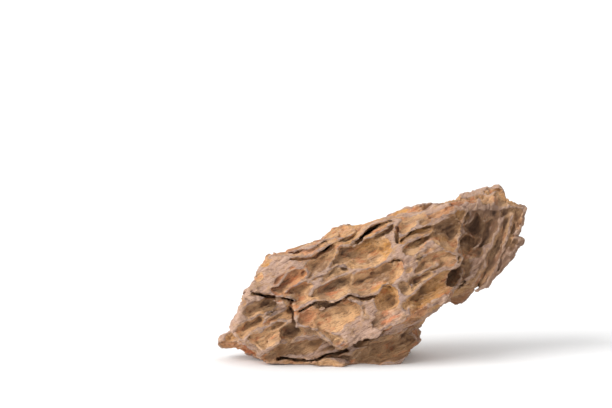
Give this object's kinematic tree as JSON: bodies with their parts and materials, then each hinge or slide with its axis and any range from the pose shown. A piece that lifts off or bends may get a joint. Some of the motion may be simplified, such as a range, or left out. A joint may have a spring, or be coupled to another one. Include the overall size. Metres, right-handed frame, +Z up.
{
  "type": "dragon stone",
  "caption": "Weathered clay stone that leans up to one side, pitted and ridged along its grain, resting on a flat underside.",
  "frame": {"origin": "on the flat underside that the stone rests on, near the middle of its length", "axes": "+X along the stone's length towards the raised broken end, +Y away from the viewer of the carved face, +Z up"},
  "size_m": [0.2321, 0.1017, 0.1288],
  "materials": {
    "clay_stone": "matt weathered clay stone, mauve brown on the ridges and tan, ochre and rust in the pits"
  },
  "bodies": {
    "root": {"stone": "clay_stone"}
  },
  "joints": []
}
